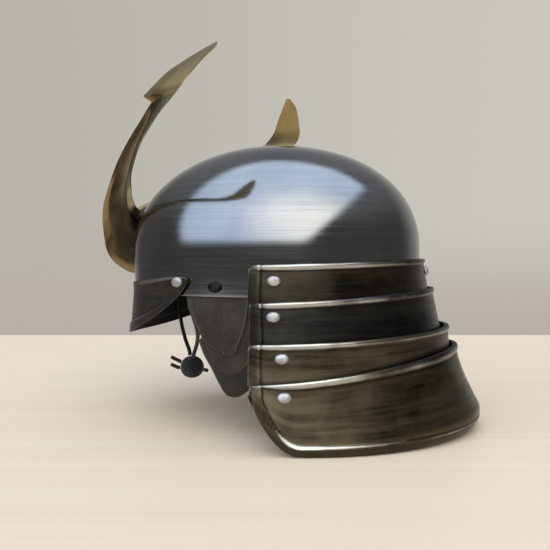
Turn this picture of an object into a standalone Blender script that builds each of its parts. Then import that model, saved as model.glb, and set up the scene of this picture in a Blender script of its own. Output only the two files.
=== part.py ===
"""Kabuto helmet: steel bowl, brow plate, brass horn crest, four riveted neck lames, ear flaps, chin cord.

Metres, +Z up, front towards -Y, the wearer's left towards +X, standing on z = 0.
"""
import math

import bmesh
import bpy
from mathutils import Matrix, Vector

GAP = 0.0003

BOWL_HALF_WIDTH = 0.105
BOWL_HALF_LENGTH = 0.1290
BOWL_MIDDLE_Y = -0.0015
BOWL_RIM_Z = 0.112
BOWL_SIDE = 0.036
BOWL_DOME = 0.0927
BOWL_WALL = 0.0010
BOWL_AROUND = 44
BOWL_UP = 10
BOWL_WAIST_Z = BOWL_RIM_Z + BOWL_SIDE
BOWL_TOP_Z = BOWL_WAIST_Z + BOWL_DOME

BROW_WALL = 0.0011
BROW_SPAN = math.radians(70)
BROW_LAP = 0.0072
BROW_RISE = 0.0105
BROW_DEEP = 0.036
BROW_END = 0.0105
BROW_FLARE = 0.0029
BROW_BORDER = 0.0012

LAME_WALL = 0.0024
LAME_BEAD = 0.0045
LAME_BORDER = 0.0095
LAME_LIP = 0.0016
LAME_AROUND = 11
LAME_LENGTH = BOWL_HALF_LENGTH + BOWL_MIDDLE_Y
HEM = 0.005
CORNER_BACK = 0.0315
TUCK = 0.014
STAND = 0.0008
CORNER_HIGH = 0.045
UNDER = 0.014
UNDER_FROM = 0.75

CREST_SPAN = 0.1475
CREST_REACH = 0.1715
CREST_RISE = 0.1765
CREST_LIFT = 0.017
CREST_WALL = 0.0010
CREST_TURN = math.radians(-3.6)

RIVET_WIDE = 0.0106
RIVET_TALL = 0.0080
RIVET_HIGH = 0.0028
RIVET_SHANK = 0.0020

LEATHER = 0.0014
FLAP_DROP = 0.0785
FLAP_WIDE = 0.048
FLAP_LEAN = 0.0092
FLAP_SAG = 0.0015
EAR_TURN = math.radians(80.5)
EAR_LIFT = 0.0075
CORD = 0.0018
KNOT = 0.0112
KNOT_MIDDLE = Vector((0.0, -0.0815, 0.0385))

# one row per lame: half width at the top and at the bottom as shares of the bowl's half width, half
# length at both as shares of the lame length, then as shares of the rim's height the top edge, its
# rise at the rear, the bottom edge, its rise and the chamfer of the front corner, and last the front
# edge's distance back as a share of the lame length; each lame lies one wall further out as well
LAMES = {
    "neck_lame_1": (1.001, 1.0015, 1.028, 1.056, 1.221, 0.036, 0.821, 0.071, 0.049, 0.043),
    "neck_lame_2": (1.034, 1.040, 1.057, 1.117, 0.967, 0.071, 0.554, 0.071, 0.011, 0.063),
    "neck_lame_3": (1.058, 1.122, 1.078, 1.154, 0.699, 0.054, 0.313, 0.098, 0.031, 0.067),
    "neck_lame_4": (1.0905, 1.156, 1.168, 1.375, 0.439, 0.174, 0.000, 0.035, 0.011, 0.088),
}

# one row per lame: its rivet's distance back as a share of the lame length, its share of the way down
LAME_RIVETS = {
    "neck_lame_1": (0.196, 0.266),
    "neck_lame_2": (0.204, 0.212),
    "neck_lame_3": (0.263, 0.231),
    "neck_lame_4": (0.290, 0.161),
}

# one row per section of a horn from its root: outer edge, crease and inner edge, each as a share of
# the span, of the reach and of the rise
HORN = (
    ((0.00, 0.7485, 0.000), (0.02, 0.756, 0.263), (0.03, 0.734, 0.317)),
    ((0.00, 0.841, 0.008), (0.05, 0.766, 0.280), (0.07, 0.722, 0.314)),
    ((0.00, 0.936, 0.060), (0.11, 0.765, 0.306), (0.14, 0.716, 0.329)),
    ((0.00, 0.984, 0.145), (0.16, 0.756, 0.328), (0.19, 0.705, 0.344)),
    ((0.07, 0.965, 0.260), (0.21, 0.740, 0.358), (0.25, 0.690, 0.372)),
    ((0.17, 0.909, 0.330), (0.31, 0.694, 0.408), (0.35, 0.648, 0.406)),
    ((0.27, 0.839, 0.386), (0.40, 0.647, 0.453), (0.45, 0.601, 0.448)),
    ((0.40, 0.738, 0.453), (0.50, 0.584, 0.490), (0.55, 0.543, 0.487)),
    ((0.53, 0.628, 0.528), (0.64, 0.486, 0.551), (0.71, 0.430, 0.560)),
    ((0.67, 0.496, 0.604), (0.76, 0.379, 0.624), (0.83, 0.318, 0.624)),
    ((0.79, 0.367, 0.671), (0.845, 0.290, 0.680), (0.89, 0.240, 0.672)),
    ((0.84, 0.296, 0.722), (0.885, 0.232, 0.718), (0.915, 0.178, 0.716)),
    ((0.915, 0.298, 0.736), (0.925, 0.211, 0.740), (0.955, 0.141, 0.745)),
    ((0.875, 0.283, 0.772), (0.938, 0.177, 0.776), (0.988, 0.088, 0.778)),
    ((0.838, 0.228, 0.832), (0.89, 0.148, 0.830), (0.935, 0.073, 0.828)),
    ((0.795, 0.179, 0.887), (0.83, 0.121, 0.888), (0.856, 0.066, 0.893)),
    ((0.712, 0.124, 0.950), (0.732, 0.089, 0.953), (0.753, 0.060, 0.955)),
    ((0.640, 0.077, 1.000), (0.648, 0.069, 0.999), (0.656, 0.062, 0.997)),
)

# one row per tongue: layer from the bowl wall inwards, then rows of height above the rim as a share of
# the flap's drop, and front and rear edge from the ear rivet as shares of the flap's width
TONGUES = {
    "upper": (0, (
        (0.28, -0.40, 0.39), (0.14, -0.48, 0.50), (-0.04, -0.515, 0.54), (-0.24, -0.41, 0.50),
        (-0.38, -0.31, 0.43), (-0.485, -0.15, 0.35), (-0.54, 0.04, 0.32), (-0.567, 0.13, 0.28))),
    "middle": (1, (
        (0.28, -0.30, 0.35), (0.14, -0.40, 0.475), (-0.22, -0.31, 0.60), (-0.41, -0.275, 0.60),
        (-0.44, -0.35, 0.60), (-0.57, -0.285, 0.56), (-0.675, -0.19, 0.475), (-0.725, -0.10, 0.41),
        (-0.764, 0.04, 0.33))),
    "lower": (2, (
        (0.28, -0.21, 0.31), (0.14, -0.30, 0.475), (-0.28, -0.34, 0.64), (-0.585, -0.265, 0.66),
        (-0.74, -0.15, 0.66), (-0.865, -0.05, 0.60), (-0.955, 0.03, 0.45), (-1.00, 0.08, 0.34))),
}


def clear_scene():
    """Remove every object that the empty scene starts with."""
    for thing in list(bpy.data.objects):
        bpy.data.objects.remove(thing, do_unlink=True)


def collection(name):
    """A new collection in the scene."""
    group = bpy.data.collections.new(name)
    bpy.context.scene.collection.children.link(group)
    return group


def material(name, colour, roughness, metallic):
    """A plain Principled material."""
    look = bpy.data.materials.new(name)
    look.use_nodes = True
    shader = look.node_tree.nodes["Principled BSDF"]
    shader.inputs["Base Color"].default_value = (*colour, 1.0)
    shader.inputs["Roughness"].default_value = roughness
    shader.inputs["Metallic"].default_value = metallic
    look.diffuse_color = (*colour, 1.0)
    return look


def place(name, data, look=None, group="kabuto_helmet"):
    """Link new data into the scene as a named object with its material."""
    thing = bpy.data.objects.new(name, data)
    bpy.data.collections[group].objects.link(thing)
    if look:
        data.materials.append(bpy.data.materials[look])
    return thing


def shell(name, grid, wall, look, mirror=False, centred=False, even=True):
    """An open surface through a grid of points, mirrored in X where asked, with its wall and its holes.

    The rows run upwards and the points of a row run forwards-to-back on the wearer's left, so the
    faces point outwards and the wall grows inwards.
    """
    cols = len(grid[0])
    points = [tuple(p) for line in grid for p in line]
    faces = []
    for i in range(len(grid) - 1):
        for j in range(cols - 1):
            a = i * cols + j
            faces.append((a, a + 1, a + cols + 1, a + cols))
    mesh = bpy.data.meshes.new(name)
    mesh.from_pydata(points, [], faces)
    mesh.shade_smooth()
    mesh.set_sharp_from_angle(angle=math.radians(35))
    return walled(place(name, mesh, look), wall, mirror, centred, even)


def walled(thing, wall, mirror=False, centred=False, even=True):
    """Mirror an open surface if asked and give it its wall."""
    if mirror:
        halves = thing.modifiers.new("halves", "MIRROR")
        halves.use_axis = (True, False, False)
        halves.merge_threshold = 0.00005
    solid = thing.modifiers.new("wall", "SOLIDIFY")
    solid.thickness = wall
    solid.offset = 0.0 if centred else -1.0
    solid.use_even_offset = even
    solid.use_quality_normals = True
    return thing


def drilled(thing, drills):
    """Cut the shanks' holes into a sheet."""
    cut = thing.modifiers.new("holes", "BOOLEAN")
    cut.operation = "DIFFERENCE"
    cut.solver = "EXACT"
    cut.object = drills


def evaluated(thing):
    """The object's mesh with its modifiers applied."""
    bpy.context.view_layer.update()
    graph = bpy.context.evaluated_depsgraph_get()
    return bpy.data.meshes.new_from_object(thing.evaluated_get(graph))


def turned(name, profile, steps, look=None, group="kabuto_helmet"):
    """A solid turned about Z from a profile of (radius, height) pairs, top to bottom."""
    mesh = bpy.data.meshes.new(name)
    mesh.from_pydata([(r, 0.0, z) for r, z in profile], [(i, i + 1) for i in range(len(profile) - 1)], [])
    thing = place(name, mesh, look, group)
    screw = thing.modifiers.new("turn", "SCREW")
    screw.steps = steps
    screw.render_steps = steps
    screw.use_merge_vertices = True
    screw.merge_threshold = 0.00001
    return thing


def cord(name, path, radius):
    """A round cord: a curve along a smooth path with filled caps."""
    curve = bpy.data.curves.new(name, "CURVE")
    curve.dimensions = "3D"
    curve.bevel_depth = radius
    curve.bevel_resolution = 2
    curve.use_fill_caps = True
    spline = curve.splines.new("POLY")
    spline.points.add(len(path) - 1)
    for knot, point in zip(spline.points, path):
        knot.co = (*point, 1.0)
    return place(name, curve, "black cord")


def smooth_path(stops, steps):
    """Catmull-Rom points through the stops."""
    ends = [stops[0]] + list(stops) + [stops[-1]]
    line = []
    for i in range(1, len(ends) - 2):
        a, b, c, d = (Vector(p) for p in ends[i - 1:i + 3])
        for k in range(steps):
            t = k / steps
            line.append(0.5 * (2 * b + (c - a) * t + (2 * a - 5 * b + 4 * c - d) * t ** 2
                               + (3 * b - a - 3 * c + d) * t ** 3))
    line.append(Vector(stops[-1]))
    return line


def bowl_share(height, turn):
    """Share of the plan at a height: (1 - h^n)^(1/n) above the waist, a slight draw-in below it."""
    if height <= BOWL_WAIST_Z:
        return 1.0 - 0.010 * ((BOWL_WAIST_Z - height) / BOWL_SIDE) ** 2
    up = (height - BOWL_WAIST_Z) / BOWL_DOME
    power = 2.11 - 0.09 * math.cos(turn)
    return max(0.0, 1.0 - up ** power) ** (1.0 / power)


def bowl_point(turn, height, out=0.0):
    """A point of the bowl's outer face; turn 0 is the front, a quarter turn the wearer's left."""
    share = bowl_share(height, turn)
    x = BOWL_HALF_WIDTH * math.sin(turn)
    y = -BOWL_HALF_LENGTH * math.cos(turn)
    normal = Vector((x / BOWL_HALF_WIDTH ** 2, y / BOWL_HALF_LENGTH ** 2, 0.0)).normalized()
    return Vector((x * share, BOWL_MIDDLE_Y + y * share, height)) + normal * out


def make_bowl():
    """The bowl's skull: rings from the rim to the crown, closed by one point at the top."""
    heights = [BOWL_RIM_Z, BOWL_RIM_Z + 0.5 * BOWL_SIDE, BOWL_WAIST_Z]
    for k in range(1, BOWL_UP - 2):
        angle = 0.5 * math.pi * k / (BOWL_UP - 2)
        heights.append(BOWL_WAIST_Z + BOWL_DOME * math.sin(angle))
    skull = bmesh.new()
    rings = []
    for height in heights:
        turns = [math.tau * k / BOWL_AROUND for k in range(BOWL_AROUND)]
        rings.append([skull.verts.new(bowl_point(turn, height)) for turn in turns])
    for low, high in zip(rings, rings[1:]):
        for k in range(BOWL_AROUND):
            n = (k + 1) % BOWL_AROUND
            skull.faces.new((low[k], low[n], high[n], high[k]))
    crown = skull.verts.new((0.0, BOWL_MIDDLE_Y, BOWL_TOP_Z))
    for k in range(BOWL_AROUND):
        skull.faces.new((rings[-1][k], rings[-1][(k + 1) % BOWL_AROUND], crown))
    mesh = bpy.data.meshes.new("bowl")
    skull.to_mesh(mesh)
    skull.free()
    mesh.shade_smooth()
    return walled(place("bowl", mesh, "blackened steel"), BOWL_WALL)


def brow_edges(share):
    """Top and bottom height of the brow plate at a share of its half span."""
    deep = BROW_DEEP * (1.0 - abs(share) ** 2.6) ** 0.85
    end = BROW_END * (1.0 - min(1.0, abs(share)) ** 14) ** 0.5
    top = BOWL_RIM_Z + BROW_LAP + BROW_RISE * share ** 2 - 0.5 * (BROW_END - end)
    return top, top - deep - end


def brow_point(share, down):
    """A point of the brow plate's outer face; down runs from its top edge to its bottom edge."""
    top, low = brow_edges(share)
    height = top + (low - top) * down
    out = BROW_WALL + 2 * GAP + BROW_FLARE * max(0.0, (BOWL_RIM_Z - height) / BROW_DEEP)
    border = max(0.0, down - 0.80) / 0.20
    out += BROW_BORDER * min(1.0, border * 3.0)
    point = bowl_point(share * BROW_SPAN, max(height, BOWL_RIM_Z), out)
    return Vector((point.x, point.y, height))


def make_brow():
    """The brow plate: a bent plate under the bowl's front, with a raised border along its bottom."""
    shares = [0.1 * k for k in range(10)] + [0.95, 0.985, 0.998]
    downs = (1.0, 0.867, 0.80, 0.5, 0.22, 0.0)
    grid = [[brow_point(s, d) for s in shares] for d in downs]
    return shell("brow_plate", grid, BROW_WALL, "blackened steel", mirror=True)


def lame_row(name):
    """A lame's row of the table in metres: widths and lengths, heights, chamfer and front edge."""
    shares = LAMES[name]
    out = int(name[-1]) * (LAME_WALL + GAP)
    plan = [share * size + out for share, size in zip(shares[:4], 2 * (BOWL_HALF_WIDTH, LAME_LENGTH))]
    return plan + [share * BOWL_RIM_Z for share in shares[4:9]] + [shares[9] * LAME_LENGTH]


def lame_low(row, y):
    """Bottom height of a lame: its rise at the rear, and the round front corner of the last lame."""
    low_z, rise = row[6], row[7]
    height = low_z + rise * max(0.0, (y - 0.7 * LAME_LENGTH) / (row[3] - 0.7 * LAME_LENGTH)) ** 2
    if low_z > 0.0:
        height += TUCK * max(0.0, 1.0 - (y - row[9]) / TUCK)
    else:
        height += STAND
        corner = min(1.0, max(0.0, 1.0 - (y - row[9]) / CORNER_BACK))
        height += CORNER_HIGH * corner ** 1.9 * (1.8 - 0.8 * corner)
    return height


def hem_lip(row, point):
    """How far the rolled hem stands out at a point of the last lame: full at its edge, none one hem in."""
    slope = (lame_low(row, point.y + 0.0005) - lame_low(row, point.y - 0.0005)) / 0.001
    inward = (point.z - lame_low(row, point.y)) / math.sqrt(1.0 + slope ** 2)
    return LAME_LIP * min(1.0, max(0.0, 1.6 * (1.0 - inward / HEM)))


def lame_point(row, theta, down, out=0.0):
    """A point of a lame's outer face; theta runs from the side at 0 to the rear at a quarter turn."""
    flare = down ** 1.4 if row[6] == 0.0 else down
    half = row[0] + (row[2] - row[0]) * flare
    long = row[1] + (row[3] - row[1]) * flare
    if row[6] == 0.0:
        long -= UNDER * max(0.0, (down - UNDER_FROM) / (1.0 - UNDER_FROM)) ** 2
    y = long * math.sin(theta)
    top = row[4] + row[5] * max(0.0, math.sin(theta)) ** 1.5
    near = max(0.0, 1.0 - (y - row[9]) / row[8])
    top -= row[8] * near
    height = top + (lame_low(row, y) - top) * down
    normal = Vector((math.cos(theta) / half, math.sin(theta) / long, 0.0)).normalized()
    return Vector((half * math.cos(theta), y, height)) + normal * out


def make_lame(name):
    """One neck lame: a turned-out top edge, raised front borders and, on the last lame, a rolled hem."""
    row = lame_row(name)
    span = row[4] - row[6]
    last = row[6] == 0.0
    first = math.asin(row[9] / row[1])
    border = [LAME_BORDER * share for share in (0.0, 0.105, 0.53, 0.895, 1.0)]
    if last:
        border = [LAME_BORDER * share for share in (0.0, 0.26, 0.58, 0.895)]
        border += [LAME_BORDER + (CORNER_BACK + 0.001) * share for share in (0.0, 0.2, 0.4, 0.6, 0.8, 1.0)]
    thetas = [(first + s / row[1], s) for s in border]
    start = thetas[-1][0]
    for k in range(1, LAME_AROUND + 1):
        thetas.append((start + (0.5 * math.pi - start) * k / LAME_AROUND, 1.0))
    bead = LAME_BEAD / span
    downs = [(0.0, 0.75 * LAME_LIP), (0.35 * bead, LAME_LIP), (0.75 * bead, 0.75 * LAME_LIP)]
    downs += [(bead, 0.0), (0.55, 0.0), (1.0, 0.0)]
    if last:
        downs[4:] = [(0.40, 0.0), (0.70, 0.0), (0.89, 0.0), (0.925, 0.0), (0.96, 0.0), (1.0, 0.0)]
    grid = []
    for down, lip in downs:
        line = []
        for theta, along in thetas:
            edge = 0.55 * LAME_LIP if not last and 0.0 < along < LAME_BORDER * 0.95 else 0.0
            if last:
                edge = hem_lip(row, lame_point(row, theta, down))
            line.append(lame_point(row, theta, down, max(lip, edge)))
        line[-1].x = 0.0
        grid.append(line)
    grid.reverse()
    return shell(name, grid, LAME_WALL, "blackened steel", mirror=True)


def crest_point(shares):
    """A point of a horn from its shares, with the crest's root at the origin."""
    y = (HORN[0][0][1] - shares[1]) * CREST_REACH
    return Vector((shares[0] * CREST_SPAN, y, shares[2] * CREST_RISE))


def horn_section(row, channel):
    """Five points across a horn: outer edge, strip edge, channel bottom, crease and inner edge."""
    outer, crease, inner = (Vector(p) for p in row)
    strip = outer.lerp(crease, 0.30) + Vector((0.012, 0.0, 0.0)) * channel
    valley = outer.lerp(crease, 0.66) + Vector((-0.020, -0.010, 0.004)) * channel
    return [crest_point(p) for p in (outer, strip, valley, crease, inner)]


def make_crest():
    """The crest: a channelled horn with a barb, mirrored to a pair that shares one keel in front."""
    grid = []
    for i, row in enumerate(HORN):
        channel = min(1.0, max(0.0, (11 - i) / 3.0)) * min(1.0, 0.4 + 0.2 * i)
        grid.append(horn_section(row, channel))
    crest = shell("crest", grid, CREST_WALL, "brass", mirror=True, centred=True)
    foot = bowl_point(0.0, BOWL_RIM_Z + CREST_LIFT, CREST_WALL * 0.5 + GAP)
    crest.location = foot
    crest.rotation_euler.z = CREST_TURN
    return crest


def ear_seat():
    """The ear rivet's point on the bowl's outer face on the wearer's left, and the plan normal there."""
    return bowl_seat(EAR_TURN, BOWL_RIM_Z + EAR_LIFT)


def tongue_point(layer, y, height):
    """A point of a tongue's outer face: it follows the bowl's inside, then leans in as it hangs."""
    inset = BOWL_WALL + GAP + layer * (LEATHER + GAP)
    half = BOWL_HALF_WIDTH * bowl_share(max(height, BOWL_RIM_Z), 0.0) - inset - 2 * GAP
    drop = max(0.0, BOWL_RIM_Z - height) / FLAP_DROP
    along = (y - BOWL_MIDDLE_Y) / (BOWL_HALF_LENGTH - inset)
    x = half * math.sqrt(max(0.0, 1.0 - along ** 2)) - FLAP_LEAN * drop ** 1.8
    return Vector((x, y, height))


def make_tongue(name, layer, rows, side):
    """One leather tongue between its front and rear edges."""
    grid = []
    middle = ear_seat()[0].y
    for rise, ahead, behind in rows:
        height = BOWL_RIM_Z + rise * FLAP_DROP
        front, rear = middle + ahead * FLAP_WIDE, middle + behind * FLAP_WIDE
        line = []
        for k in range(6):
            share = k / 5
            sag = FLAP_SAG * (1 - (2 * share - 1) ** 2) * (1 if rise < -0.53 else 0)
            point = tongue_point(layer, front + (rear - front) * share, height - sag)
            line.append(Vector((point.x * side, point.y, point.z)))
        grid.append(line if side == 1 else list(reversed(line)))
    grid.reverse()
    return shell(name, grid, LEATHER, "leather", even=False)


def rivet_frame(point, normal):
    """A frame with +Z out of the plate, +X level along it and +Y up it."""
    level = Vector((0.0, 0.0, 1.0)).cross(normal).normalized()
    turn = Matrix((level, normal.cross(level), normal)).transposed().to_4x4()
    return Matrix.Translation(point) @ turn


def make_rivet(name, point, normal, deep, look="bright steel", size=1.0):
    """A rivet: an oval domed head, a round shank and a peened inner end."""
    head = RIVET_HIGH * size
    tall = 0.5 * RIVET_TALL * size
    profile = [(0.0, head), (tall * 0.60, head * 0.93), (tall * 0.90, head * 0.50), (tall, 0.0),
               (RIVET_SHANK, 0.0), (RIVET_SHANK, -deep), (RIVET_SHANK * 1.6, -deep),
               (RIVET_SHANK * 1.4, -deep - 0.001), (0.0, -deep - 0.001)]
    rough = turned(name, profile, 10)
    mesh = evaluated(rough)
    bpy.data.objects.remove(rough, do_unlink=True)
    for corner in mesh.vertices:
        if corner.co.xy.length > tall * 0.58 and corner.co.z > -0.00001:
            corner.co.x *= RIVET_WIDE / RIVET_TALL
    mesh.shade_smooth()
    mesh.set_sharp_from_angle(angle=math.radians(50))
    rivet = place(name, mesh, look)
    rivet.matrix_world = rivet_frame(point, normal)
    return rivet


def make_drills(name, holes):
    """One cutter of round drills, one for each (point, normal, depth)."""
    drills = bmesh.new()
    for point, normal, deep in holes:
        long = deep + 0.004
        frame = rivet_frame(point, normal) @ Matrix.Translation((0.0, 0.0, 0.004 - 0.5 * long))
        wide = RIVET_SHANK + GAP
        bmesh.ops.create_cone(drills, cap_ends=True, segments=10, radius1=wide, radius2=wide,
                              depth=long, matrix=frame)
    mesh = bpy.data.meshes.new(name)
    drills.to_mesh(mesh)
    drills.free()
    cutter = place(name, mesh, group="cutters")
    cutter.hide_render = True
    cutter.display_type = "WIRE"
    return cutter


def mirrored(point):
    """The same point on the wearer's right."""
    return Vector((-point.x, point.y, point.z))


def lame_seat(name, y, height):
    """The point on a lame's outer face at a distance back and a height, with the normal there."""
    row = lame_row(name)
    down = (row[4] - height) / (row[4] - row[6])
    for _ in range(8):
        long = row[1] + (row[3] - row[1]) * (down ** 1.4 if row[6] == 0.0 else down)
        theta = math.asin(y / long)
        down -= (height - lame_point(row, theta, down).z) / (row[6] - row[4]) * -1.0
    point = lame_point(row, theta, down)
    ahead = lame_point(row, theta + 0.01, down) - point
    below = lame_point(row, theta, down + 0.01) - point
    return point, below.cross(ahead).normalized()


def bowl_seat(turn, height):
    """A point on the bowl's outer face and its plan normal."""
    point = bowl_point(turn, height)
    return point, (bowl_point(turn, height, 0.01) - point).normalized()


def put_rivets():
    """All rivets; returns the places of the holes that they need."""
    holes = []
    above = "bowl"
    for name, (back, share) in LAME_RIVETS.items():
        row = lame_row(name)
        y = back * LAME_LENGTH
        height = row[4] + (row[6] - row[4]) * share
        point, normal = lame_seat(name, y, height)
        inner = BOWL_HALF_WIDTH - BOWL_WALL
        if above != "bowl":
            inner = lame_seat(above, y, height)[0].x - LAME_WALL
        deep = abs(point.x - inner) + 0.0006
        label = "lame_rivet_" + name[-1]
        for side, tag in ((1, "left"), (-1, "right")):
            spot = point if side == 1 else mirrored(point)
            way = normal if side == 1 else mirrored(normal)
            make_rivet(f"{label}_{tag}", spot + way * GAP, way, deep + GAP)
            holes.append((spot, way, deep + 0.002))
        above = name
    first = lame_row("neck_lame_1")
    rear = lame_point(first, 0.5 * math.pi, 0.24)
    below = lame_point(first, 0.5 * math.pi, 0.25) - rear
    way = Vector((0.0, -below.z, below.y)).normalized()
    deep = rear.y - (BOWL_MIDDLE_Y + BOWL_HALF_LENGTH - BOWL_WALL) + 0.0015
    make_rivet("rear_rivet", rear + way * GAP, way, deep + GAP)
    holes.append((rear, way, deep + 0.002))
    top, low = brow_edges(0.93)
    point, normal = bowl_seat(0.93 * BROW_SPAN, top + (low - top) * 0.27)
    for side, tag in ((1, "left"), (-1, "right")):
        spot = point if side == 1 else mirrored(point)
        way = normal if side == 1 else mirrored(normal)
        out = BROW_WALL + 3 * GAP
        make_rivet(f"brow_rivet_{tag}", spot + way * out, way, out + BOWL_WALL + 0.0006)
        holes.append((spot + way * out, way, out + BOWL_WALL + 0.003))
    point, normal = ear_seat()
    for side, tag in ((1, "left"), (-1, "right")):
        spot = point if side == 1 else mirrored(point)
        way = normal if side == 1 else mirrored(normal)
        deep = BOWL_WALL + 3 * (LEATHER + GAP) + 0.0016
        make_rivet(f"ear_rivet_{tag}", spot + way * GAP, way, deep, "blackened steel", 1.08)
        holes.append((spot, way, deep + 0.002))
    return holes


def knot_edge(way, off=0.0):
    """The point just outside the knot in a direction, or further off."""
    return KNOT_MIDDLE + Vector(way).normalized() * (KNOT + GAP + off)


def cord_top(turn):
    """The first points of a cord that lies down along the bowl's inner face, side on.

    The face is flat between two of the bowl's edges, so it lies r (1 - cos(pi / n)) further in there.
    """
    flat = BOWL_HALF_LENGTH * (1.0 - math.cos(math.pi / BOWL_AROUND))
    inside = BOWL_WALL + GAP + flat + CORD * 1.1
    stops = ((0.022, 0.0), (0.013, 0.0), (0.005, 0.0008))
    return [bowl_point(turn, BOWL_RIM_Z + rise, -inside - off) for rise, off in stops]


def make_cords():
    """The chin cord's two runs from the bowl to its knot, and the cut ends that stand out of the knot."""
    ball = turned("chin_knot", [(0.0, KNOT)] + [
        (KNOT * math.sin(math.pi * k / 8), KNOT * math.cos(math.pi * k / 8)) for k in range(1, 8)
    ] + [(0.0, -KNOT)], 14, "black cord")
    ball.location = KNOT_MIDDLE
    way = (0.50, 0.30, 0.81)
    left = cord_top(math.radians(67.8)) + [(0.0835, -0.0505, 0.1030), (0.0510, -0.0570, 0.0800),
                                           (0.0170, -0.0700, 0.0640), knot_edge(way, 0.006), knot_edge(way)]
    cord("chin_cord_left", smooth_path(left, 3), CORD)
    way = (-0.30, -0.30, 0.91)
    right = cord_top(math.radians(-22.0)) + [(-0.0385, -0.1105, 0.1020), (-0.0230, -0.1020, 0.0800),
                                             (-0.0100, -0.0925, 0.0640), knot_edge(way, 0.006), knot_edge(way)]
    cord("chin_cord_right", smooth_path(right, 3), CORD)
    ends = {
        "upper": ((0.20, -0.90, 0.42), (0.0055, -0.1005, 0.0480)),
        "lower": ((0.30, -0.95, -0.02), (0.0065, -0.1003, 0.0412)),
        "rear": ((0.30, 0.95, -0.10), (0.0060, -0.0640, 0.0368)),
    }
    for name, (way, tip) in ends.items():
        cord(f"cord_end_{name}", smooth_path([knot_edge(way), knot_edge(way, 0.002), tip], 2), CORD * 0.95)


def build():
    """Make every piece, then pierce the sheets where the rivets' shanks pass."""
    clear_scene()
    collection("kabuto_helmet")
    collection("cutters")
    material("blackened steel", (0.035, 0.038, 0.040), 0.30, 1.0)
    material("bright steel", (0.72, 0.72, 0.71), 0.35, 1.0)
    material("brass", (0.36, 0.27, 0.12), 0.38, 1.0)
    material("leather", (0.045, 0.040, 0.036), 0.70, 0.0)
    material("black cord", (0.008, 0.008, 0.009), 0.85, 0.0)
    sheets = [make_bowl(), make_brow()]
    sheets += [make_lame(name) for name in LAMES]
    for side, tag in ((1, "left"), (-1, "right")):
        for name, (layer, rows) in TONGUES.items():
            sheets.append(make_tongue(f"ear_flap_{name}_{tag}", layer, rows, side))
    make_crest()
    drills = make_drills("shank_holes", put_rivets())
    for thing in sheets:
        drilled(thing, drills)
    make_cords()


build()
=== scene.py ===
import math

import bmesh
import bpy
import numpy as np
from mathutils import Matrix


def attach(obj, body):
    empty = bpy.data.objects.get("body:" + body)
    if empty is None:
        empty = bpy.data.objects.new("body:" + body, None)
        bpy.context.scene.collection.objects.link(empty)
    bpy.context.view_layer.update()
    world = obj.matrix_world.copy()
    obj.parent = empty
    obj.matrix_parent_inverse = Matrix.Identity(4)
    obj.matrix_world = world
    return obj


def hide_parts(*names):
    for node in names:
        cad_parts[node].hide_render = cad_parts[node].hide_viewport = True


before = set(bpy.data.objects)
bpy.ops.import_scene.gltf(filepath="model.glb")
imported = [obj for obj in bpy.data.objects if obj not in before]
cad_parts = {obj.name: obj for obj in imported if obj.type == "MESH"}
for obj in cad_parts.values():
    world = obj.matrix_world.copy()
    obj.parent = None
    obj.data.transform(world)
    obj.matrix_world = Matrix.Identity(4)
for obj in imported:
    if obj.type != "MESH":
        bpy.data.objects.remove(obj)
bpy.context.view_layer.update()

# The bowl: one skull of sheet steel, raised and planished smooth, blackened and then polished by hand
# with strokes that run level round it. Everything else is riveted to it or stands on it.
HALF_WIDTH, HALF_LENGTH, MIDDLE_Y = 0.105, 0.129, -0.0015
RIM_Z, SIDE, DOME, BOWL_WALL = 0.112, 0.036, 0.0927, 0.0010
GAP, BROKEN_EDGE, BOWL_RADIUS = 0.0003, 0.0003, 0.11


def plan_share(height, turn):
    """Size of the bowl's plan at a height as a share of its widest: (1 - h^n)^(1/n) over the dome."""
    low = 1.0 - 0.010 * (np.clip(RIM_Z + SIDE - height, 0.0, None) / SIDE) ** 2
    up = np.clip((height - RIM_Z - SIDE) / DOME, 0.0, 1.0)
    power = 2.11 - 0.09 * np.cos(turn)
    return np.where(height <= RIM_Z + SIDE, low, (1.0 - up ** power) ** (1.0 / power))


def bowl_face(turn, height, out=0.0):
    """The bowl's outer face: an ellipse times the plan's share, moved out along the ellipse's normal."""
    share = plan_share(height, turn)
    x, y = HALF_WIDTH * np.sin(turn), -HALF_LENGTH * np.cos(turn)
    across, along = x / HALF_WIDTH ** 2, y / HALF_LENGTH ** 2
    size = np.hypot(across, along)
    parts = (x * share + across / size * out, MIDDLE_Y + y * share + along / size * out, height)
    return np.stack(np.broadcast_arrays(*parts), axis=-1)


def smooth(low, high, value):
    """Three s squared less two s cubed of the value's share between low and high."""
    share = np.clip((value - low) / (high - low), 0.0, 1.0)
    return share * share * (3.0 - 2.0 * share)


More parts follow.
